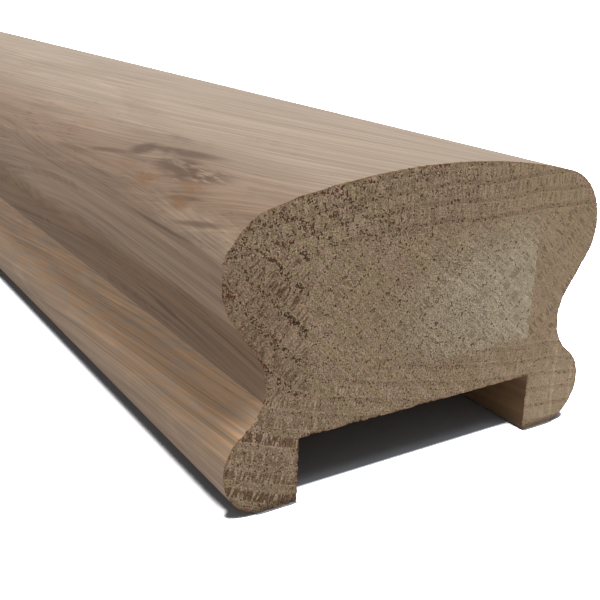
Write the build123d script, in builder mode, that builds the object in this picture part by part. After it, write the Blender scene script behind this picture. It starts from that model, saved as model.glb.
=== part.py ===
from build123d import *
from math import asin, atan2, degrees, hypot, sqrt
import os

# A length of moulded timber stair handrail. Its blank is glued up from five
# strips, which run the whole length, and then machined to the moulding.
# It lies on its two feet: X along the rail, Y across it, Z up, and the origin
# is in the middle of the underside. Left and right are as seen from the end
# at +X. All sizes are in millimetres.

# Overall size
length = 900.0
width = 63.0
height = 43.5

# Moulded outline, from the crown down to the feet
crown_radius = 105.0
shoulder_radius = 9.0
cove_radius = 7.5
bead_radius = 6.5
waist_width = 51.0

# Groove under the rail that takes the heads of square spindles
groove_width = 41.0
groove_depth = 9.4
foot_arris = 0.6

# Strips of the blank: a base board, a middle layer of a core between two side
# strips, and a crown board over them
base_thickness = 15.7
middle_thickness = 19.0
core_width = 39.0

# Neighbouring arcs of the moulding meet without a corner, so the centres
# follow from the radii. The crown's centre is far below, in the middle plane.
# The shoulder lies inside the crown's circle and reaches the full width.
crown_z = height - crown_radius
shoulder_y = width / 2 - shoulder_radius
shoulder_z = crown_z + sqrt((crown_radius - shoulder_radius) ** 2 - shoulder_y**2)

# The bead also reaches the full width, and rolls under onto the foot.
bead_y = width / 2 - bead_radius
bead_z = bead_radius

# The cove is hollowed in to the waist and curves back out into the bead.
cove_y = waist_width / 2 + cove_radius
cove_z = bead_z + sqrt((cove_radius + bead_radius) ** 2 - (cove_y - bead_y) ** 2)

# A short straight neck touches both the shoulder and the cove.
roll_to_cove = hypot(cove_y - shoulder_y, cove_z - shoulder_z)
neck_length = sqrt(roll_to_cove**2 - (shoulder_radius + cove_radius) ** 2)

# How far each arc turns the outline. The outline sets out level from the top
# of the crown and comes level again, facing back, at the foot.
roll_to_cove_dip = degrees(atan2(shoulder_z - cove_z, cove_y - shoulder_y))
neck_slant = degrees(asin((shoulder_radius + cove_radius) / roll_to_cove))
crown_turn = degrees(asin(shoulder_y / (crown_radius - shoulder_radius)))
shoulder_turn = roll_to_cove_dip + neck_slant - crown_turn
bead_turn = degrees(atan2(cove_z - bead_z, cove_y - bead_y)) + 90
cove_turn = crown_turn + shoulder_turn + bead_turn - 180

# The whole moulding. The section is drawn as one half, mirrored, and drawn out
# to the length.
with BuildPart() as moulding:
    with BuildSketch(Plane.YZ.offset(-length / 2)) as section:
        with BuildLine() as outline:
            crown = JernArc((0, height), (1, 0), crown_radius, -crown_turn)
            shoulder = JernArc(crown @ 1, crown % 1, shoulder_radius, -shoulder_turn)
            neck = PolarLine(shoulder @ 1, neck_length, direction=shoulder % 1)
            cove = JernArc(neck @ 1, neck % 1, cove_radius, cove_turn)
            bead = JernArc(cove @ 1, cove % 1, bead_radius, -bead_turn)
            foot = Line(bead @ 1, (groove_width / 2, 0))
            groove_side = Line(foot @ 1, (groove_width / 2, groove_depth))
            groove_roof = Line(groove_side @ 1, (0, groove_depth))
            Line(groove_roof @ 1, crown @ 0)
        make_face()
        mirror(about=Plane.YZ)
    extrude(amount=length)

    # Four edges run along the underside: the inner two, at the mouth of the
    # groove, are eased.
    foot_edges = moulding.edges().filter_by(Axis.X).group_by(Axis.Z)[0]
    mouth_edges = foot_edges.sort_by(Axis.Y)[1:3]
    fillet(mouth_edges, foot_arris)

# The glue joints part the moulding into its strips. They are flat and tight.
lower_joint = Plane.XY.offset(base_thickness)
upper_joint = Plane.XY.offset(base_thickness + middle_thickness)
left_joint = Plane.XZ.offset(core_width / 2)

with BuildPart() as base_board:
    add(moulding.part)
    split(bisect_by=lower_joint, keep=Keep.BOTTOM)

with BuildPart() as crown_board:
    add(moulding.part)
    split(bisect_by=upper_joint, keep=Keep.TOP)

with BuildPart() as left_side_strip:
    add(moulding.part)
    split(bisect_by=lower_joint, keep=Keep.TOP)
    split(bisect_by=upper_joint, keep=Keep.BOTTOM)
    split(bisect_by=left_joint, keep=Keep.TOP)

with BuildPart() as right_side_strip:
    mirror(left_side_strip.part, about=Plane.XZ)

with BuildPart() as core:
    with BuildSketch(lower_joint):
        Rectangle(length, core_width)
    extrude(amount=middle_thickness)

base_board.part.label = "base_board"
crown_board.part.label = "crown_board"
left_side_strip.part.label = "left_side_strip"
right_side_strip.part.label = "right_side_strip"
core.part.label = "core"

os.makedirs("parts", exist_ok=True)
export_step(base_board.part, "parts/base_board.step")
export_step(crown_board.part, "parts/crown_board.step")
export_step(left_side_strip.part, "parts/left_side_strip.step")
export_step(right_side_strip.part, "parts/right_side_strip.step")
export_step(core.part, "parts/core.step")
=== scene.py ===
# %% [markdown]
# A moulded oak handrail, glued up from five strips. The solids of the strips
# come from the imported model, so this lesson is about how wood looks.
# The scene is in metres, as Blender is. The rail lies along X, Y runs across
# it and Z is up. Left and right are as seen from the sawn end at +X.

# %% Load the solids
import math

import bmesh
import bpy
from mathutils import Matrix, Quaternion, Vector
from mathutils.geometry import delaunay_2d_cdt
from mathutils.kdtree import KDTree


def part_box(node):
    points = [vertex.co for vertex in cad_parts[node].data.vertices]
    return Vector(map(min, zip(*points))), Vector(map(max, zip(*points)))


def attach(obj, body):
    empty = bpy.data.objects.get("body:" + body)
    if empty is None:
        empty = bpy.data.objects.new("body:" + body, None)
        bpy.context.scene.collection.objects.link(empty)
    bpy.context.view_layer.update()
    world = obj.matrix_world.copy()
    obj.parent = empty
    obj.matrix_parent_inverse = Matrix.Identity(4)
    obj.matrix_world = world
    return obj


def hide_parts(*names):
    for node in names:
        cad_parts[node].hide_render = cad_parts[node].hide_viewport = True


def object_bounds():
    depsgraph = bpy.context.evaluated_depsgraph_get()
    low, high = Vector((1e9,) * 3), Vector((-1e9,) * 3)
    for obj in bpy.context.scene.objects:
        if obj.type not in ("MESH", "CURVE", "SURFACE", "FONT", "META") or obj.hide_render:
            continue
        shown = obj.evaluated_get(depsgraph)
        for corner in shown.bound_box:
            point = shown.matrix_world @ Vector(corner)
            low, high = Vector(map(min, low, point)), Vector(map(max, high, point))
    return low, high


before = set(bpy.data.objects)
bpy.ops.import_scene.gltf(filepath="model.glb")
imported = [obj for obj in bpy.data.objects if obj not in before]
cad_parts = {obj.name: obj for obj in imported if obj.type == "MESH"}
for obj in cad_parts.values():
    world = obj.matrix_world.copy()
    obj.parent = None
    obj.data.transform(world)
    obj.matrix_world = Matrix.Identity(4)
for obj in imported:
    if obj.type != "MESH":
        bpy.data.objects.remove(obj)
cad_low, cad_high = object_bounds()
print("solids", sorted(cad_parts), "reach from", tuple(cad_low), "to", tuple(cad_high))

# %% [markdown]
# The section of a handrail is a chain of arcs that run into each other without
# a corner: a flat crown, a round shoulder, a hollow cove and a round bead.
# It could be traced as a list of points, but a chain of arcs needs only five
# radii, stays smooth at any scale, and is how a spindle moulder's cutter is
# ground. The overall width and height and the glue joints are read from the
# solids; the waist, the groove's width and its depth are given.

# %% Sizes of the moulding
MM = 0.001
crown_radius = 105 * MM
shoulder_radius = 9 * MM
cove_radius = 7.5 * MM
bead_radius = 6.5 * MM
waist_width = 51 * MM
groove_width = 41 * MM
groove_depth = 9.4 * MM
foot_arris = 0.6 * MM

end_x = cad_high.x
width = cad_high.y - cad_low.y
height = cad_high.z
lower_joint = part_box("base_board")[1].z
upper_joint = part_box("crown_board")[0].z
side_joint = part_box("core")[1].y
print(f"joints {lower_joint / MM:.1f} and {upper_joint / MM:.1f} mm up, {side_joint / MM:.1f} mm out")

# %% [markdown]
# Each arc touches the next one, so the centres follow from the radii. Where a
# glue joint crosses an arc, the arc is cut, so that the strips on both sides
# of the joint share that point.

# %% Centres and joints of the arcs
crown = Vector((0, height - crown_radius))
shoulder_y = width / 2 - shoulder_radius
shoulder_rise = math.sqrt((crown_radius - shoulder_radius) ** 2 - shoulder_y**2)
shoulder = Vector((shoulder_y, crown.y + shoulder_rise))
bead = Vector((width / 2 - bead_radius, bead_radius))
cove_y = waist_width / 2 + cove_radius
cove_rise = math.sqrt((cove_radius + bead_radius) ** 2 - (cove_y - bead.x) ** 2)
cove = Vector((cove_y, bead.y + cove_rise))


def bearing(a, b):
    """The angle of the way from a to b, from the Y axis towards Z."""
    return math.atan2(b.y - a.y, b.x - a.x)


crown_edge = bearing(crown, shoulder)
neck_lean = math.acos((shoulder_radius + cove_radius) / (cove - shoulder).length)
neck = bearing(shoulder, cove) + neck_lean
bead_top = bearing(bead, cove)
shoulder_cut = math.asin((upper_joint - shoulder.y) / shoulder_radius)
cove_cut = math.pi - math.asin((lower_joint - cove.y) / cove_radius)
print(f"the neck leans {90 + math.degrees(neck):.1f} degrees out of upright")

# %% [markdown]
# A line of many short steps stands for each arc. The step is a quarter of a
# millimetre, fine enough for the crumbled edge that a saw leaves on the ends.

# %% Lines and arcs in short steps
STEP = 0.25 * MM


def run(a, b):
    """Points from a to b in short steps, without b."""
    steps = max(1, round((b - a).length / STEP))
    return [a.lerp(b, i / steps) for i in range(steps)]


def arc(centre, radius, start, end):
    """Points along an arc in short steps, without its end."""
    steps = max(2, round(abs(end - start) * radius / STEP))
    angles = [start + (end - start) * i / steps for i in range(steps)]
    return [centre + radius * Vector((math.cos(a), math.sin(a))) for a in angles]


def at(centre, radius, angle):
    """The point of an arc at an angle."""
    return centre + radius * Vector((math.cos(angle), math.sin(angle)))


shoulder_point = at(shoulder, shoulder_radius, shoulder_cut)
cove_point = at(cove, cove_radius, cove_cut)
crown_side = arc(crown, crown_radius, math.pi / 2, crown_edge)
crown_side += arc(shoulder, shoulder_radius, crown_edge, shoulder_cut)
flank_side = arc(shoulder, shoulder_radius, shoulder_cut, neck)
flank_side += run(at(shoulder, shoulder_radius, neck), at(cove, cove_radius, neck + math.pi))
flank_side += arc(cove, cove_radius, neck + math.pi, cove_cut)
bead_side = arc(cove, cove_radius, cove_cut, bead_top + math.pi)
bead_side += arc(bead, bead_radius, bead_top, -math.pi / 2)
print(len(crown_side) + len(flank_side) + len(bead_side), "points down one side of the moulding")

# %% [markdown]
# The feet end at the groove. Its mouth is eased by a small quarter round, and
# its side and roof are flat.

# %% The groove
groove_side = groove_width / 2
ease = Vector((groove_side + foot_arris, foot_arris))
foot_end = Vector((ease.x, 0))
ease_top = Vector((groove_side, ease.y))
groove_corner = Vector((groove_side, groove_depth))
bead_side += run(Vector((bead.x, 0)), foot_end)
bead_side += arc(ease, foot_arris, -math.pi / 2, -math.pi)
bead_side += run(ease_top, groove_corner)
bead_side += run(groove_corner, Vector((0, groove_depth)))
print("groove", groove_width / MM, "mm wide and", groove_depth / MM, "mm deep")


# %% [markdown]
# Each strip's section is a closed loop: the stretch of the moulding that the
# strip carries, and straight runs where it is glued to its neighbours.

# %% Loops of the five strips
def mirrored(points):
    """The same line on the other side of the middle, run the other way."""
    return [Vector((-p.x, p.y)) for p in reversed(points)]


def polygon(*corners):
    """Straight runs from corner to corner, without the last corner."""
    return [p for a, b in zip(corners, corners[1:]) for p in run(a, b)]


core_low = Vector((side_joint, lower_joint))
core_high = Vector((side_joint, upper_joint))
core_corners = [core_low, core_high]
core_corners += [Vector((-side_joint, upper_joint)), Vector((-side_joint, lower_joint))]
right_loop = flank_side + polygon(cove_point, core_low, core_high, shoulder_point)
roof_middle = Vector((0, groove_depth))
loops = {
    "crown_board": crown_side
    + run(shoulder_point, Vector((-shoulder_point.x, upper_joint)))
    + mirrored(crown_side + [shoulder_point])[:-1],
    "right_side_strip": right_loop,
    "left_side_strip": mirrored(right_loop),
    "core": polygon(*core_corners, core_low),
    "base_board": bead_side
    + mirrored(bead_side[1:] + [roof_middle])
    + run(Vector((-cove_point.x, lower_joint)), cove_point),
}
outline = crown_side + flank_side + bead_side
outline_tree = KDTree(2 * len(outline))
for i, p in enumerate(outline + mirrored(outline)):
    outline_tree.insert((p.x, p.y, 0), i)
outline_tree.balance()
print({name: len(loop) for name, loop in loops.items()})

# %% [markdown]
# A sawn end isn't flat: the teeth leave ridges and crumble the edge. To show
# that in the mesh and not only in the shading, the end face is filled with
# small even triangles. A Delaunay triangulation does that between the loop
# and a honeycomb of points inside it. It knows nothing of depth, so the plate
# is drawn flat, as on paper, and stood up later.
# Each point also keeps how near it is to the moulded outline, because only
# that edge crumbles, not the edges along the glue.

# %% A plate of each section
GRAIN = 0.32 * MM
ARRIS_REACH = 0.7 * MM


def honeycomb(loop):
    """Points in rows over the loop's box, kept clear of the loop itself."""
    rim = KDTree(len(loop))
    for i, p in enumerate(loop):
        rim.insert((p.x, p.y, 0), i)
    rim.balance()
    low = Vector((min(p.x for p in loop), min(p.y for p in loop)))
    high = Vector((max(p.x for p in loop), max(p.y for p in loop)))
    row_gap = GRAIN * math.sqrt(3) / 2
    found = []
    for row in range(1, int((high.y - low.y) / row_gap) + 1):
        for column in range(int((high.x - low.x) / GRAIN) + 1):
            p = Vector((low.x + (column + 0.5 * (row % 2)) * GRAIN, low.y + row * row_gap))
            if rim.find((p.x, p.y, 0))[2] > 0.55 * GRAIN:
                found.append(p)
    return found


def plate(name, loop):
    """A flat mesh of a strip's section, Y to the right and Z up."""
    rim = [(i, (i + 1) % len(loop)) for i in range(len(loop))]
    points, _, faces, _, _, _ = delaunay_2d_cdt(loop + honeycomb(loop), rim, [], 1, 1e-7)
    used = sorted({i for face in faces for i in face})
    place = {old: new for new, old in enumerate(used)}
    mesh = bpy.data.meshes.new(name)
    corners = [(points[i].x, points[i].y, 0) for i in used]
    mesh.from_pydata(corners, [], [[place[i] for i in face] for face in faces])
    arris = mesh.attributes.new("arris", "FLOAT", "POINT")
    for value, vertex in zip(arris.data, mesh.vertices):
        value.value = max(0, 1 - outline_tree.find(vertex.co)[2] / ARRIS_REACH)
    return mesh


plates = {name: plate(f"{name}_section", loop) for name, loop in loops.items()}
print({name: len(mesh.polygons) for name, mesh in plates.items()}, "triangles an end")

# %% [markdown]
# Geometry Nodes and materials are trees of nodes. Made by hand they are wired
# with the mouse, and made by a script they take three lines a node. Two small
# helpers keep that readable: one adds a node and fills its sockets, and a
# Field lets a formula be written as a formula.


# %% Helpers for node trees
def connect(tree, value, socket):
    """Wires a field or socket into a socket, or sets the socket to a plain value."""
    if isinstance(value, Field):
        value = value.socket
    if isinstance(value, bpy.types.NodeSocket):
        tree.links.new(value, socket)
    else:
        socket.default_value = value


def add(tree, kind, inputs=None, **settings):
    """A new node with these settings. Inputs go by the sockets' names or numbers."""
    node = tree.nodes.new(kind)
    for setting, value in settings.items():
        setattr(node, setting, value)
    for name, value in (inputs or {}).items():
        connect(tree, value, node.inputs[name])
    return node


def maths(operation, *values):
    """A Math node on fields and plain numbers."""
    tree = next(v.tree for v in values if isinstance(v, Field))
    node = add(tree, "ShaderNodeMath", dict(enumerate(values)), operation=operation)
    return Field(node.outputs[0])


class Field:
    """A value that varies over a surface. Arithmetic with it adds Math nodes."""

    def __init__(self, socket):
        self.socket = socket
        self.tree = socket.id_data

    def __add__(self, other):
        return maths("ADD", self, other)

    def __sub__(self, other):
        return maths("SUBTRACT", self, other)

    def __rsub__(self, other):
        return maths("SUBTRACT", other, self)

    def __mul__(self, other):
        return maths("MULTIPLY", self, other)

    def __truediv__(self, other):
        return maths("DIVIDE", self, other)

    __radd__ = __add__
    __rmul__ = __mul__

    def split(self):
        """The x, y and z of a vector."""
        node = add(self.tree, "ShaderNodeSeparateXYZ", {0: self})
        return [Field(socket) for socket in node.outputs]


# %% [markdown]
# A few more words for the formulas: a soft step up or down between two values,
# a vector from three numbers, noise, and cells. Noise gives drifting shades,
# and cells give separate spots such as pores.


# %% Steps, noise and cells
def rise(value, low, high):
    """0 below low, 1 above high, and a soft step between."""
    inputs = {"Value": value, "From Min": low, "From Max": high}
    node = add(value.tree, "ShaderNodeMapRange", inputs, interpolation_type="SMOOTHSTEP")
    return Field(node.outputs[0])


def fall(value, low, high):
    """1 below low, 0 above high, and a soft step between."""
    return 1 - rise(value, low, high)


def vector(x, y, z):
    """Three numbers as one vector."""
    tree = next(v.tree for v in (x, y, z) if isinstance(v, Field))
    return Field(add(tree, "ShaderNodeCombineXYZ", {0: x, 1: y, 2: z}).outputs[0])


def noise(place, detail=2.0, roughness=0.5):
    """Drifting values around 0.5. Their size is set by the scale of the place."""
    inputs = {"Vector": place, "Scale": 1.0, "Detail": detail, "Roughness": roughness}
    return Field(add(place.tree, "ShaderNodeTexNoise", inputs).outputs[0])


def cells(place):
    """How far a point is from the middle of its cell, and the cell's own chance number."""
    node = add(place.tree, "ShaderNodeTexVoronoi", {"Vector": place, "Scale": 1.0})
    return Field(node.outputs["Distance"]), Field(node.outputs["Color"]).split()[0]


# %% [markdown]
# The strip itself is a sweep: the plate's rim carried along the rail. Extrude
# would do it by hand. Geometry Nodes do it by a rule, so the length, the
# slices and the saw's marks stay numbers that can be changed afterwards.
# The slices are crowded towards the ends, where the sawn edge needs them, and
# wide apart in the middle, where the walls are straight.


# %% The sweep's inputs
SWEEP_INPUTS = {
    "Length": "NodeSocketFloat",
    "Slices": "NodeSocketInt",
    "Saw Depth": "NodeSocketFloat",
    "Crumble": "NodeSocketFloat",
    "Chip Place": "NodeSocketVector",
    "Chip Size": "NodeSocketVector",
    "Chip Depth": "NodeSocketFloat",
    "Seed": "NodeSocketFloat",
    "Finish": "NodeSocketMaterial",
}
STAND_UP = (math.pi / 2, 0, math.pi / 2)


def end_plates(tree, section, length):
    """The plate stood up at both ends, facing out, and marked as sawn."""
    half = length * 0.5
    to_front, to_back = vector(half, 0, 0), vector(half * -1, 0, 0)
    front = add(tree, "GeometryNodeTransform", {0: section, "Translation": to_front, "Rotation": STAND_UP})
    back = add(tree, "GeometryNodeTransform", {0: section, "Translation": to_back, "Rotation": STAND_UP})
    turned = add(tree, "GeometryNodeFlipFaces", {"Mesh": back.outputs[0]})
    both = add(tree, "GeometryNodeJoinGeometry", {0: front.outputs[0]})
    connect(tree, turned.outputs[0], both.inputs[0])
    inputs = {0: both.outputs[0], "Name": "sawn", "Value": 1.0}
    return add(tree, "GeometryNodeStoreNamedAttribute", inputs, data_type="FLOAT", domain="FACE").outputs[0]


# %% [markdown]
# The walls: the plate's edges with a face on one side only are its rim. Curve
# to Mesh carries that rim along a straight path. On a path along X it lays the
# rim on its side, and half a turn of tilt sets it upright.


# %% The sweep's walls
def walls(tree, section, length, slices):
    """The plate's rim carried along the rail."""
    faces_beside = Field(add(tree, "GeometryNodeInputMeshEdgeNeighbors").outputs[0])
    on_rim = maths("LESS_THAN", faces_beside, 1.5)
    rim = add(tree, "GeometryNodeMeshToCurve", {0: section, "Selection": on_rim})
    half = length * 0.5
    ends = {"Start": vector(half * -1, 0, 0), "End": vector(half, 0, 0)}
    path = add(tree, "GeometryNodeCurvePrimitiveLine", ends)
    sliced = add(tree, "GeometryNodeResampleCurve", {0: path.outputs[0], "Count": slices})
    x = Field(add(tree, "GeometryNodeInputPosition").outputs[0]).split()[0]
    crowded = x * (2 - maths("ABSOLUTE", x) / half)
    moved = add(tree, "GeometryNodeSetPosition", {0: sliced.outputs[0], "Position": vector(crowded, 0, 0)})
    upright = add(tree, "GeometryNodeSetCurveTilt", {0: moved.outputs[0], "Tilt": math.pi})
    return add(tree, "GeometryNodeCurveToMesh", {0: upright.outputs[0], 1: rim.outputs[0]}).outputs[0]


# %% [markdown]
# The marks of the saw only ever take wood away, so every point of an end moves
# inwards: by a little everywhere, by more along the crumbled outline, and by
# most where a chip broke out of one shoulder. The outline crumbles less towards
# the right, where the saw left the wood smoother.


# %% The saw's marks
RIDGE_SIZE = 0.9 * MM
CRUMB_SIZE = 0.7 * MM
MARKED_LENGTH = 2.5 * MM


def sawn_in(inputs):
    """How far each point of the rail moves in from its nearer end."""
    x, y, z = Field(add(inputs["Length"].tree, "GeometryNodeInputPosition").outputs[0]).split()
    tree = x.tree
    half = inputs["Length"] * 0.5
    seed = inputs["Seed"]
    from_end = half - maths("ABSOLUTE", x)
    across = vector(y / RIDGE_SIZE, z / RIDGE_SIZE, seed + x)
    ridges = noise(across, detail=3.0, roughness=0.65) * inputs["Saw Depth"]
    stored = add(tree, "GeometryNodeInputNamedAttribute", {"Name": "arris"}, data_type="FLOAT")
    arris = Field(stored.outputs[0])
    crumbs = rise(noise(vector(y / CRUMB_SIZE, z / CRUMB_SIZE, seed + x + 9)), 0.42, 0.75)
    chip_y, chip_z = inputs["Chip Place"].split()[1:]
    size_y, size_z = inputs["Chip Size"].split()[1:]
    off_y, off_z = (y - chip_y) / size_y, (z - chip_z) / size_z
    chip = fall(maths("SQRT", off_y * off_y + off_z * off_z), 0.2, 1.0) * rise(x, 0, MM)
    crumbled = arris * crumbs * (1 - 0.65 * rise(y, -5 * MM, 20 * MM))
    depth = ridges + crumbled * inputs["Crumble"] + chip * inputs["Chip Depth"]
    return depth * fall(from_end, 0, MARKED_LENGTH), x


# %% [markdown]
# The tree as a whole: plates and walls are joined, their doubled points are
# merged so that the strip is closed, the saw's marks are pressed in, and every
# edge with a real corner is kept sharp.


# %% The sweep's tree
WELD = 0.01 * MM
CORNER_ANGLE = math.radians(40)


def sweep_tree():
    """The tree that makes a strip from its section."""
    tree = bpy.data.node_groups.new("glued strip", "GeometryNodeTree")
    tree.interface.new_socket("Section", in_out="INPUT", socket_type="NodeSocketGeometry")
    for name, kind in SWEEP_INPUTS.items():
        tree.interface.new_socket(name, in_out="INPUT", socket_type=kind)
    tree.interface.new_socket("Strip", in_out="OUTPUT", socket_type="NodeSocketGeometry")
    given = add(tree, "NodeGroupInput")
    inputs = {name: Field(given.outputs[name]) for name in SWEEP_INPUTS}
    section = given.outputs["Section"]
    joined = add(tree, "GeometryNodeJoinGeometry", {0: end_plates(tree, section, inputs["Length"])})
    connect(tree, walls(tree, section, inputs["Length"], inputs["Slices"]), joined.inputs[0])
    closed = add(tree, "GeometryNodeMergeByDistance", {0: joined.outputs[0], "Distance": WELD})
    depth, x = sawn_in(inputs)
    inwards = vector(depth * maths("SIGN", x) * -1, 0, 0)
    marked = add(tree, "GeometryNodeSetPosition", {0: closed.outputs[0], "Offset": inwards})
    all_faces = {0: marked.outputs[0], "Shade Smooth": True}
    smooth = add(tree, "GeometryNodeSetShadeSmooth", all_faces, domain="FACE")
    angle = Field(add(tree, "GeometryNodeInputMeshEdgeAngle").outputs[0])
    corner = maths("GREATER_THAN", angle, CORNER_ANGLE)
    corners = {0: smooth.outputs[0], "Selection": corner, "Shade Smooth": False}
    crisp = add(tree, "GeometryNodeSetShadeSmooth", corners, domain="EDGE")
    finished = add(tree, "GeometryNodeSetMaterial", {0: crisp.outputs[0], "Material": inputs["Finish"]})
    add(tree, "NodeGroupOutput", {0: finished.outputs[0]})
    return tree


glued_strip = sweep_tree()
print("the sweep has", len(glued_strip.nodes), "nodes")

# %% [markdown]
# Now the wood. A picture of grain wrapped round the rail would run over the
# ends wrongly, because end grain and long grain are two cuts through the same
# tree. So the material is worked out in space: each point of the strip asks
# where in the tree it was. First its place in millimetres, measured back from
# the sawn end, with slow bends as a real tree has. Round a knot the grain
# swerves, so points beside it are read from nearer its middle.


# %% Where a point was in the tree
def colour(red, green, blue):
    """A colour as a screen shows it, 0 to 255, in Blender's linear values."""
    shares = [v / 255 for v in (red, green, blue)]
    return (*[s / 12.92 if s < 0.04045 else ((s + 0.055) / 1.055) ** 2.4 for s in shares], 1.0)


def reach(place, spot):
    """How far a point is from a spot's middle: 1 on its edge. A size of None has no edge."""
    off_x, off_y, off_z = (p - at for p, at in zip(place, spot["at"]))
    if "slant" in spot:
        off_y = off_y - off_x * spot["slant"]
    if "climb" in spot:
        off_z = off_z - off_x * spot["climb"]
    parts = [off / size for off, size in zip((off_x, off_y, off_z), spot["size"]) if size]
    total = parts[0] * parts[0]
    for part in parts[1:]:
        total = total + part * part
    return maths("SQRT", total)


def in_tree(tree, wood):
    """How far a point is along the trunk, out from its pith and round it, in millimetres."""
    spot = add(tree, "ShaderNodeTexCoord").outputs["Object"]
    to_mm = {"Vector": spot, "Location": (-end_x / MM, 0, 0), "Scale": (1 / MM,) * 3}
    from_end = add(tree, "ShaderNodeMapping", to_mm)
    x, y, z = Field(from_end.outputs[0]).split()
    seed = wood["seed"]
    sway_y = (noise(vector(x / 110, y / 45, z / 45 + seed)) - 0.5) * wood["sway"]
    sway_z = (noise(vector(x / 90, y / 35, z / 35 - seed)) - 0.5) * wood["sway"]
    lean = (1 - maths("EXPONENT", x / wood["lean_length"])) * wood["lean"]
    bow = (1 - maths("COSINE", (x + wood["bow_middle"]) * (2 * math.pi / wood["bow_length"]))) * wood["bow"]
    pith_y, pith_z = wood["pith"]
    middle_y, middle_z = wood["middle"]
    aim = math.atan2(middle_y - pith_y, middle_z - pith_z)
    far = math.hypot(middle_y - pith_y, middle_z - pith_z)
    off_y = y + sway_y + lean - pith_y
    off_z = z + sway_z + bow - x * wood["climb"] - pith_z
    for knot in wood.get("knots", ()):
        away = reach((x, y, z), knot)
        off_y = off_y - (y - knot["at"][1]) * knot["swerve"] * maths("EXPONENT", away * away * -1)
    outwards = off_y * math.sin(aim) + off_z * math.cos(aim)
    sideways = off_y * math.cos(aim) - off_z * math.sin(aim)
    out = maths("SQRT", outwards * outwards + sideways * sideways)
    around = maths("ARCTAN2", sideways, outwards) * far
    return (x, y, z), (x + seed * 37, out, around)


# %% [markdown]
# Oak is ring-porous. Each spring it grows a row of wide vessels, which show as
# holes on the end and as thin dark scratches along the grain. The summer wood
# after it is dense, with pale rays running out from the pith and darker dashes
# between them. A year's number picks its own shade.


# %% Rings, pores, dashes and rays
def years(along, out, around, wood):
    """Where a point is in its year, from 0 in spring to 1, and that year's chance number."""
    wobble = (noise(vector(along / 70, out / 9, around / 14)) - 0.5) * wood["wobble"]
    age = out / wood["ring"] + wobble
    year = {"W": maths("FLOOR", age) + wood["seed"]}
    chance = add(age.tree, "ShaderNodeTexWhiteNoise", year, noise_dimensions="1D")
    return maths("FRACT", age), Field(chance.outputs[0])


def pores(along, out, around, spring, ragged, wood):
    """1 inside a vessel. They are wide in spring and narrow in summer, and torn out of round."""
    gap = wood["pore_gap"]
    distance, chance = cells(vector(along / (gap * 50), out / gap, around / gap))
    bore = 0.04 + spring * wood["pore_size"] + (chance - 0.6) * 0.25 + ragged
    return fall(distance - bore, -0.10, 0.08), chance


def dashes(along, out, around, wood):
    """Dark dashes between the rays, up to 2 mm long and a third of a millimetre wide."""
    start = wood["dash_from"]
    strokes = noise(vector(along / 30, out / 2.2, around / wood["dash_width"]), detail=1.0)
    return rise(strokes, start, start + 0.1)


def rays(along, out, around):
    """Pale rays: thin lines on the end, and flecks along the sides."""
    return rise(noise(vector(along / 7, out / 2.6, around / 0.3) + 40, detail=1.0), 0.56, 0.68)


# %% [markdown]
# Some marks belong to one place: a knot, a stain, a paler patch, a dark line.
# A few are painted shade: the cove, the groove, the crown's left shoulder and
# the bottom of the ends are darkened where shade falls. A spot lays a tone over
# the wood round a middle. It can be patchy, or run at a slant, or be kept to
# the sawn ends or to the moulded sides. Grounds are spots laid before the
# grain, so the grain still shows in full on them, and the others are laid over it.


# %% Laying one tone over another
def mixed(amount, under, over):
    """under, with amount of over laid on it."""
    node = add(amount.tree, "ShaderNodeMix", {0: amount}, data_type="RGBA")
    connect(amount.tree, under, node.inputs[6])
    connect(amount.tree, over, node.inputs[7])
    return Field(node.outputs[2])


def brightened(under, factor):
    """under times a factor that varies."""
    node = add(factor.tree, "ShaderNodeVectorMath", {0: under}, operation="SCALE")
    connect(factor.tree, factor, node.inputs["Scale"])
    return Field(node.outputs[0])


def spotted(body, spot, place, sawn):
    """body with one spot laid over it."""
    away = reach(place, spot)
    amount = fall(away, spot.get("core", 0.3), 1.0) * spot["amount"]
    if "patch" in spot:
        x, y, z = place
        lifted = (x, y, z - x * spot.get("patch_climb", 0.0))
        patch = noise(vector(*[p / size for p, size in zip(lifted, spot["patch"])]), detail=2.0)
        amount = amount * rise(patch, 0.34, 0.56)
    if "on" in spot:
        amount = amount * (sawn if spot["on"] == "sawn" else 1 - sawn)
    return mixed(amount, body, spot["tone"])


# %% [markdown]
# The finish itself. The fields are cheap to change, so they were tuned by
# rendering and looking. On the moulded sides fine fibres run along the trunk.
# They are drawn upright in the wood on the top and level on the flanks: where
# a plane skims along a layer of fibres, it would smear them into fingerprints.
# The sawn ends are furry instead, with a pepper of torn fibre, and the same
# field is used as relief there. The fur fades towards the right, where the saw
# left the wood smoother. Sides and ends wear the same slow patches of darker
# and lighter wood, so that nothing looks printed.


# %% The finish of a strip
RELIEF_DEPTH = 0.14 * MM


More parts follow.
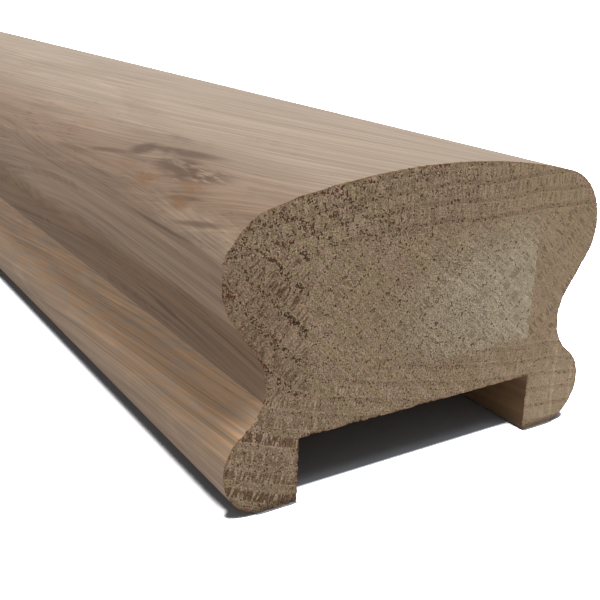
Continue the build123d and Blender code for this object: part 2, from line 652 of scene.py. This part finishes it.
def oak(name, wood):
    """The finish of one strip: moulded along its length and sawn on its ends."""
    finish = bpy.data.materials.new(name)
    finish.use_nodes = True
    tree = finish.node_tree
    shader = tree.nodes["Principled BSDF"]
    place, (along, out, around) = in_tree(tree, wood)
    x, y, z = place
    sawn = Field(add(tree, "ShaderNodeAttribute", attribute_name="sawn").outputs["Fac"])
    arris = Field(add(tree, "ShaderNodeAttribute", attribute_name="arris").outputs["Fac"])

    season, chance = years(along, out, around, wood)
    spring = rise(season, 0.0, 0.05) * fall(season, 0.2, 0.45)
    summer = rise(season, 0.3, 0.5) * fall(season, 0.9, 1.0)
    flank = rise(maths("ABSOLUTE", y), *wood["flank"])
    upright = noise(vector(along / 40, out / 2.5, around / 0.28), detail=2.0)
    level = noise(vector(along / 40, out / 0.28, around / 2.5), detail=2.0)
    fibre = upright + (level - upright) * flank
    streak = noise(vector(along / 45, out / 1.1, around / 1.1), detail=2.0)
    drift = noise(vector(along / 60, out / 5, around / 5), detail=2.0)
    fur = rise(noise(vector(x / 0.22, y / 0.22, z / 0.22), detail=2.0, roughness=0.6), 0.3, 0.7)
    tint = noise(vector(x / 0.9, y / 0.9, z / 0.9) + 7, detail=1.0)
    crowd = fall(y, *wood["crowded"]) if "crowded" in wood else 1.0
    crowd = crowd * rise(noise(vector(x / 1.8, y / 1.8, z / 1.1) + 5), 0.4, 0.65)
    smoother = rise(y, 2, 22)
    furry = sawn * (1 - 0.55 * smoother)
    ragged = (fur - 0.5) * furry * -0.8
    wide = maths("MAXIMUM", spring * (0.4 + 0.6 * crowd), crowd * wood["crowding"])
    holes, hole_chance = pores(along, out, around, wide, ragged, wood)
    dark = dashes(along, out, around, wood) * summer * (0.5 + 0.5 * chance)
    pale = rays(along, out, around)

    end_grain = mixed(rise(tint, 0.35, 0.65), wood["sawn"], wood["sawn_cool"])
    body = mixed(sawn, wood["moulded"], end_grain)
    for ground in wood.get("grounds", ()):
        body = spotted(body, ground, place, sawn)
    dense = mixed(sawn, wood["moulded_dark"], wood["sawn_dark"])
    if "dashes_to" in wood:
        dark = dark * (0.3 + 0.7 * fall(y, *wood["dashes_to"]))
    body = mixed(dark * (wood["side_dashes"] + sawn * wood["end_dashes"]), body, dense)
    ring_line = spring * (wood["side_rings"] + sawn * (wood["end_rings"] - wood["side_rings"]))
    body = mixed(ring_line, body, dense)
    along_look = (chance - 0.5) * 0.08 + (streak - 0.5) * 0.4 + (fibre - 0.5) * 1.1
    shade = 1 + (drift - 0.5) * 0.25 + along_look * (1 - sawn * 0.8) + (fur - 0.5) * furry * 0.75
    shade = shade - sawn * smoother * 0.05
    body = brightened(body, shade + pale * wood["ray_strength"])
    for spot in wood.get("spots", ()):
        body = spotted(body, spot, place, sawn)
    torn = rise(arris, 0.3, 1.0) * sawn * rise(noise(vector(x / 0.6, y / 0.6, z / 0.6)), 0.4, 0.6)
    body = mixed(torn * 0.75, body, TORN_TONE)
    hole = mixed(rise(hole_chance, 0.5, 0.85), wood["pore"], wood["pore_red"])
    open_holes = wood["side_pores"] * (1 - sawn) + sawn * (0.9 - 0.2 * smoother)
    body = mixed(holes * open_holes, body, hole)
    connect(tree, body, shader.inputs["Base Color"])

    shader.inputs["Specular IOR Level"].default_value = 0.25
    connect(tree, 0.55 + sawn * 0.35 + holes * 0.1, shader.inputs["Roughness"])
    relief = holes * (sawn * -0.6 - 0.2) + fibre * 0.4 * (1 - sawn) + fur * furry * 1.1
    bump = add(tree, "ShaderNodeBump", {"Strength": 1.0, "Distance": RELIEF_DEPTH, "Height": relief})
    connect(tree, bump.outputs[0], shader.inputs["Normal"])
    return finish


# %% [markdown]
# Five strips from five places in the tree. The pith says which way the rings
# run on the end: far below for the crown board, so that its rings lie nearly
# level, and off to a corner for the core, so that they slant. The crown board
# leans in the tree, so its grain runs off towards the left as it goes back.

# %% The five woods
TORN_TONE = colour(158, 112, 72)
tan = dict(
    moulded=colour(169, 149, 129), moulded_dark=colour(138, 114, 92),
    sawn=colour(186, 158, 134), sawn_cool=colour(177, 156, 123), sawn_dark=colour(120, 93, 70),
    pore=colour(56, 38, 27), pore_red=colour(108, 62, 42),
)
brown = dict(tan, moulded=colour(164, 137, 114), moulded_dark=colour(130, 104, 84))
usual = dict(
    sway=4.0, lean=0.0, lean_length=60.0, climb=0.0, bow=0.0, bow_middle=35.0, bow_length=260.0,
    wobble=0.7, pore_gap=0.5, pore_size=0.26, crowding=0.0, dash_from=0.48,
    dash_width=0.36, side_dashes=0.15, end_dashes=0.6, side_rings=0.2, end_rings=0.15,
    side_pores=0.15, ray_strength=0.12, flank=(23, 25),
)
knot = dict(at=(-29, -24, 41), size=(15, 5, 60), swerve=0.6)
KNOT_TONE = colour(92, 68, 50)
LINE_TONE = colour(104, 80, 62)
RUST_TONE = colour(140, 102, 68)


def mark(at, size, amount, tone, **more):
    """A spot on the moulded sides."""
    return dict(at=at, size=size, amount=amount, tone=tone, on="moulded", **more)


knot_marks = (
    mark((-40, -24, 41), (4.2, 3.0, None), 0.95, KNOT_TONE, patch=(9, 4, 9)),
    mark((-32, -21.6, 41), (13, 1.8, None), 0.9, KNOT_TONE, patch=(9, 2, 9), slant=0.2),
    mark((-27, -24.3, 41), (7, 3.2, None), 0.95, KNOT_TONE, patch=(5, 1.6, 9), slant=0.1),
    mark((-20, -24.8, 41), (10, 3.2, None), 0.9, KNOT_TONE, patch=(4, 0.6, 9), slant=0.15),
    mark((-39, -18.3, 41), (6, 1.2, None), 0.3, KNOT_TONE, patch=(5, 0.6, 9)),
    mark((-46, -26.9, 40), (10, 0.7, None), 0.75, LINE_TONE, slant=0.17),
    mark((-59, -28.9, 38), (9, 0.5, None), 0.5, LINE_TONE, slant=0.05),
    mark((-16.5, -28.5, 38), (6, 0.45, None), 0.75, LINE_TONE, slant=0.15),
    mark((-9.5, -29.8, 36.9), (9, None, 0.5), 0.65, LINE_TONE, climb=0.16),
    mark((-37.5, -27.6, 39), (4, 1.0, None), 0.55, RUST_TONE, patch=(3, 1, 1)),
    mark((-29, -28.3, 39), (5, 1.1, None), 0.75, RUST_TONE, patch=(3, 1, 1)),
    mark((-17, -26.9, 40), (4, 1.6, None), 0.6, RUST_TONE, patch=(1.5, 0.5, 1)),
    mark((-16.5, -29.0, 38), (3.5, 0.9, None), 0.75, RUST_TONE),
    mark((-66, -25, 40), (7, 4, 4), 0.25, RUST_TONE, patch=(6, 1.5, 1.5)),
)
joint_line = mark((-18, -30, 34.7), (14, None, 0.35), 0.7, LINE_TONE)
pale_spot = dict(
    at=(0, -12.5, 37.3), size=(None, 1.7, 1.7), amount=0.6, tone=colour(200, 178, 146), on="sawn",
)
# Painted shade: the side strips are darkened round the cove, where the hollow turns from the light.
painted_cove_shade = mark((0, 0, 20), (None, None, 10), 0.95, colour(142, 115, 91))
side_lines = (
    mark((-8, -26, 20.7), (12, None, 0.5), 0.6, LINE_TONE, climb=-0.165),
    mark((-27, -26, 18.3), (25, None, 0.5), 0.6, LINE_TONE, climb=-0.074),
    mark((-30, -26, 18.5), (7, None, 0.9), 0.6, LINE_TONE, climb=-0.074),
    mark((-11, -27, 26.5), (13, None, 0.4), 0.4, LINE_TONE, climb=-0.115),
    mark((-34, -28, 28.7), (16, None, 0.4), 0.4, LINE_TONE, climb=-0.076),
    joint_line,
)
woods = {
    "crown_board": dict(
        usual, **tan, slot="crown_oak", seed=3, ring=2.4, pith=(12, -250), middle=(0, 39), lean=22.0,
        lean_length=85.0, crowded=(-14, 8), crowding=1.0, knots=(knot,), pore_gap=0.6, pore_size=0.32,
        end_rings=0.35, side_pores=0.08, flank=(27, 30), spots=(*knot_marks, pale_spot, joint_line),
        grounds=(
            # Painted shade: the crown's left shoulder is darkened, where it turns away from the light.
            mark((0, -33, 36), (None, 22, 30), 1.0, colour(147, 121, 99), core=0.2),
            mark((-34, -23.5, 41), (26, 7, None), 0.65, colour(134, 110, 89)),
            mark((0, -31, 36.4), (30, None, 3.0), 0.75, colour(182, 157, 133), core=0.4),
        ),
    ),
    "left_side_strip": dict(
        usual, **brown, slot="side_oak", seed=11, ring=3.4, pith=(60, 105), middle=(-25, 25), bow=4.0,
        sway=2.0, pore_gap=0.7, pore_size=0.52, end_dashes=0.8, side_rings=0.12, spots=side_lines,
        grounds=(
            painted_cove_shade,
            dict(at=(0, -31, 25), size=(None, 14, 20), amount=0.5, tone=colour(150, 122, 98), on="sawn"),
        ),
    ),
    "right_side_strip": dict(
        usual, **brown, slot="side_oak", seed=17, ring=3.0, pith=(-60, 110), middle=(25, 25), bow=4.0,
        pore_size=0.14, side_rings=0.2, grounds=(painted_cove_shade,),
    ),
    "core": dict(
        usual, **brown, slot="core_oak", seed=23, ring=2.6, pith=(-85, 115), middle=(0, 25), pore_size=0.26,
        dash_from=0.46, end_dashes=0.34, dash_width=0.28,
        grounds=(
            dict(at=(0, 15, 23), size=(None, 25, 14), amount=0.9, tone=colour(200, 185, 158), on="sawn"),
        ),
    ),
    "base_board": dict(
        usual, **{**brown, "sawn": colour(194, 166, 141)}, slot="base_oak", seed=31, ring=2.6,
        pith=(47, 213), middle=(0, 10), climb=0.07, pore_size=0.18, dash_from=0.4, end_dashes=0.85,
        end_rings=0.3, dashes_to=(-22, -8), ray_strength=0.16,
        grounds=(
            mark((0, 0, 6), (None, None, 16), 1.0, colour(187, 161, 137)),
            mark((0, 0, 14), (None, None, 8), 0.9, colour(199, 160, 123), patch=(9, 0.9, 0.55),
                 patch_climb=0.2),
            mark((-62, -26, 13.8), (5, 4, 1.2), 0.6, colour(204, 178, 150)),
            # Painted shade: the groove's walls and roof are darkened, where little light gets inside.
            mark((0, 0, 4), (None, 23.5, 13), 0.9, colour(128, 98, 66), core=0.88),
            dict(at=(0, 32, 5), size=(None, 22, 12), amount=0.5, tone=colour(204, 180, 152), on="sawn"),
            # Painted shade: a dark line along the bottom of each end, where the feet meet the floor.
            dict(at=(0, 0, 0), size=(None, None, 1.4), amount=0.75, tone=colour(84, 80, 66), on="sawn"),
        ),
    ),
}
finishes = {name: oak(f"{name} oak", wood) for name, wood in woods.items()}
print({name: len(finish.node_tree.nodes) for name, finish in finishes.items()}, "nodes a finish")

# %% [markdown]
# Each plate becomes its strip. The modifier is filled in before Blender first
# works it out, and the result is taken as a plain mesh. Which way a swept wall
# faces depends on how its rim happened to be walked, so all faces are then
# turned outwards, as Recalculate Outside does by hand. The new piece stands
# for the solid of the same name.

# %% Make the strips
SWEEP_SIZES = {
    "Length": cad_high.x - cad_low.x,
    "Slices": 56,
    "Saw Depth": 0.09 * MM,
    "Crumble": 0.42 * MM,
    "Chip Place": (0.0, -30.9 * MM, 35.0 * MM),
    "Chip Size": (1.0, 1.2 * MM, 1.8 * MM),
    "Chip Depth": 0.4 * MM,
    "Seed": 4.0,
}


def face_outwards(mesh):
    """Turns every face of a closed mesh outwards."""
    work = bmesh.new()
    work.from_mesh(mesh)
    bmesh.ops.recalc_face_normals(work, faces=work.faces)
    work.to_mesh(mesh)
    work.free()


def strip(name):
    """The finished piece of one strip."""
    drawing = bpy.data.objects.new(f"{name}_drawing", plates[name])
    bpy.context.scene.collection.objects.link(drawing)
    sweep = drawing.modifiers.new("sweep", "NODES")
    sweep.node_group = glued_strip
    sockets = {s.name: s.identifier for s in glued_strip.interface.items_tree if s.in_out == "INPUT"}
    for size, value in {**SWEEP_SIZES, "Finish": finishes[name]}.items():
        sweep[sockets[size]] = value
    made = drawing.evaluated_get(bpy.context.evaluated_depsgraph_get())
    mesh = bpy.data.meshes.new_from_object(made)
    bpy.data.objects.remove(drawing)
    face_outwards(mesh)
    piece = bpy.data.objects.new(f"{name}_oak", mesh)
    bpy.context.scene.collection.objects.link(piece)
    return piece


for name, wood in woods.items():
    piece = strip(name)
    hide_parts(name)
    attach(piece, "root")
    print(piece.name, len(piece.data.polygons), "faces")


# %% [markdown]
# The stage is a plain white floor under soft light. One sun stands nearly
# overhead, so the crown is the lightest part and the coves below it darken;
# painted shade on the side strips darkens the coves further.
# Its disc is very large, which makes its shadows soft, and a low even sky
# fills them. Area lamps would do the same for a small object, but their light
# weakens along a rail as long as this one, and a sun's doesn't.
# The floor is white to the camera and plain grey to the light that bounces off
# it, so that it doesn't flood the underside of the mouldings. On so white a
# floor a soft shadow would vanish, so the floor is painted dark where the rail
# shuts it in. Ambient occlusion measures that: how much of the space above a
# point is open. Right at the ends, where the feet meet the floor, the shade is
# let out a little further. In the groove it runs to just short of each end.


# %% Floor, sky and sun
HALF_FLOOR = 6.0
SHADE_REACH = 30 * MM
PAINTED_SHADE = (0.31, 0.33, 0.36, 1)
WHITE_TO_CAMERA = (4.6, 5.0, 5.6, 1)
GREY_TO_LIGHT = (0.6, 0.6, 0.6, 1)


def floor():
    """A wide white floor that keeps the rail's shadow."""
    mesh = bpy.data.meshes.new("floor")
    half = HALF_FLOOR
    corners = [(-half, -half, 0), (half, -half, 0), (half, half, 0), (-half, half, 0)]
    mesh.from_pydata(corners, [], [(0, 1, 2, 3)])
    piece = bpy.data.objects.new("floor", mesh)
    bpy.context.scene.collection.objects.link(piece)
    paint = bpy.data.materials.new("floor white")
    paint.use_nodes = True
    tree = paint.node_tree
    seen = Field(add(tree, "ShaderNodeLightPath").outputs["Is Camera Ray"])
    shut_in = add(tree, "ShaderNodeAmbientOcclusion", {"Distance": SHADE_REACH}, samples=64)
    x, y, z = Field(add(tree, "ShaderNodeTexCoord").outputs["Object"]).split()
    along, across = maths("ABSOLUTE", x), maths("ABSOLUTE", y)
    at_end = rise(along, end_x - 3 * MM, end_x - MM) * fall(along, end_x + 0.2 * MM, end_x + 0.6 * MM)
    beside = rise(Field(shut_in.outputs["AO"]) - at_end * 0.2, 0.35, 0.41)
    in_groove = fall(across, groove_side - 0.1 * MM, groove_side + 0.1 * MM)
    mouth = rise(along, end_x - 3.4 * MM, end_x - 2.6 * MM)
    lit = beside * (1 - in_groove) + mouth * in_groove
    shown = mixed(lit, PAINTED_SHADE, WHITE_TO_CAMERA)
    shader = tree.nodes["Principled BSDF"]
    connect(tree, mixed(seen, GREY_TO_LIGHT, shown), shader.inputs["Base Color"])
    shader.inputs["Roughness"].default_value = 1.0
    shader.inputs["Specular IOR Level"].default_value = 0.0
    mesh.materials.append(paint)


def sky(level):
    """An even sky, white where it is seen."""
    world = bpy.data.worlds.new("studio")
    bpy.context.scene.world = world
    world.use_nodes = True
    tree = world.node_tree
    rays_seen = add(tree, "ShaderNodeLightPath")
    by_camera, by_shine = (Field(rays_seen.outputs[f"Is {kind} Ray"]) for kind in ("Camera", "Glossy"))
    seen = maths("MAXIMUM", by_camera, by_shine)
    connect(tree, seen * (1 - level) + level, tree.nodes["Background"].inputs["Strength"])
    tree.nodes["Background"].inputs["Color"].default_value = (1, 1, 1, 1)


def sun(level, towards, disc):
    """A sun that lights a surface facing it to that level."""
    data = bpy.data.lights.new("soft sun", "SUN")
    data.energy = level * math.pi
    data.angle = disc
    lamp = bpy.data.objects.new("soft sun", data)
    lamp.rotation_mode = "QUATERNION"
    lamp.rotation_quaternion = Vector(towards).to_track_quat("Z", "Y")
    bpy.context.scene.collection.objects.link(lamp)


floor()
sky(level=0.35)
sun(level=0.75, towards=(0.22, 0.15, 1.0), disc=math.radians(40))

# %% [markdown]
# The camera stands close to the sawn end, low and to its left, and looks back
# along the rail. It is placed from the point of the end that it is aimed at.

# %% Camera
AIM = Vector((end_x, -20.85 * MM, 28.53 * MM))
AIM_DISTANCE = 111.88 * MM
AZIMUTH, ELEVATION, ROLL = (math.radians(a) for a in (57.69, 19.72, 1.42))
LENS, SENSOR = 54.94, 36.0

lens = bpy.data.cameras.new("camera")
lens.lens, lens.sensor_width = LENS, SENSOR
lens.clip_start = MM
camera = bpy.data.objects.new("camera", lens)
level_back = Vector((math.sin(AZIMUTH), -math.cos(AZIMUTH), 0)) * math.cos(ELEVATION)
back = level_back + Vector((0, 0, math.sin(ELEVATION)))
camera.location = AIM + AIM_DISTANCE * back
camera.rotation_mode = "QUATERNION"
camera.rotation_quaternion = Quaternion(back, ROLL) @ (-back).to_track_quat("-Z", "Y")
bpy.context.scene.collection.objects.link(camera)
bpy.context.scene.camera = camera
bpy.context.scene.view_settings.view_transform = "Standard"
print("camera at", tuple(camera.location))
